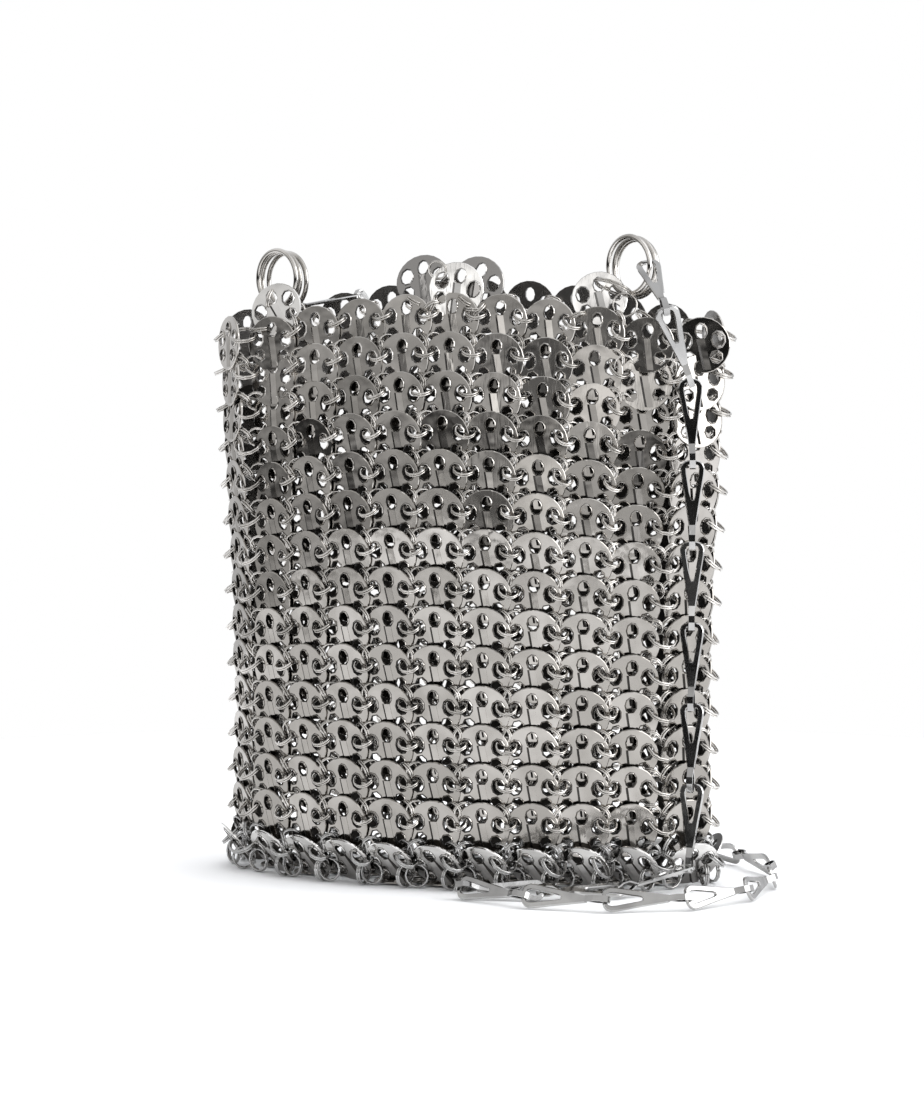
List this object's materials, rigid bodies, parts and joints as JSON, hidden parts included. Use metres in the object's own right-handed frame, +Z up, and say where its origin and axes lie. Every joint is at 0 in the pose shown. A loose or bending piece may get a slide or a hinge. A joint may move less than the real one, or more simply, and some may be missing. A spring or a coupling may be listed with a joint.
{
  "type": "chain mail shoulder bag",
  "caption": "Open-top shoulder bag of linked round metal discs, with a flat-link chain strap on ring stacks, standing with the strap laid around it",
  "frame": {"origin": "middle of the base panel's underside, on the floor", "axes": "+Z up along the bag's height, -Y the front, +X the bag's left-to-right width seen from the front"},
  "size_m": [0.2303, 0.155, 0.2512],
  "materials": {
    "mail": "polished silver tone",
    "rim": "polished silver tone",
    "ring": "polished silver tone",
    "link": "polished dark silver tone"
  },
  "bodies": {
    "root": {"disc_row_01": "mail", "disc_row_02": "mail", "disc_row_03": "mail", "disc_row_04": "mail", "disc_row_05": "mail", "disc_row_06": "mail", "disc_row_07": "mail", "disc_row_08": "mail", "disc_row_09": "mail", "disc_row_10": "mail", "disc_row_11": "mail", "disc_row_12": "mail", "disc_row_13": "mail", "disc_row_14": "mail", "disc_row_15": "mail", "base_panel": "mail", "strap_tab_left": "rim", "strap_tab_right": "rim", "closure_tab_left": "rim", "closure_tab_right": "rim", "strap_ring_right_1": "ring", "strap_ring_right_2": "ring", "strap_ring_right_3": "ring", "strap_ring_left_1": "ring", "strap_ring_left_2": "ring", "strap_ring_left_3": "ring", "strap_link_01": "link", "strap_link_02": "link", "strap_link_03": "link", "strap_link_04": "link", "strap_link_05": "link", "strap_link_06": "link", "strap_link_07": "link", "strap_link_08": "link", "strap_link_09": "link", "strap_link_10": "link", "strap_link_11": "link", "strap_link_12": "link", "strap_link_13": "link", "strap_link_14": "link", "strap_link_15": "link", "strap_link_16": "link", "strap_link_17": "link", "strap_link_18": "link", "strap_link_19": "link", "strap_link_20": "link", "strap_link_21": "link", "strap_link_22": "link", "strap_link_23": "link", "strap_link_24": "link", "strap_link_25": "link", "strap_link_26": "link", "strap_link_27": "link", "strap_link_28": "link", "strap_link_29": "link", "strap_link_30": "link"}
  },
  "joints": []
}
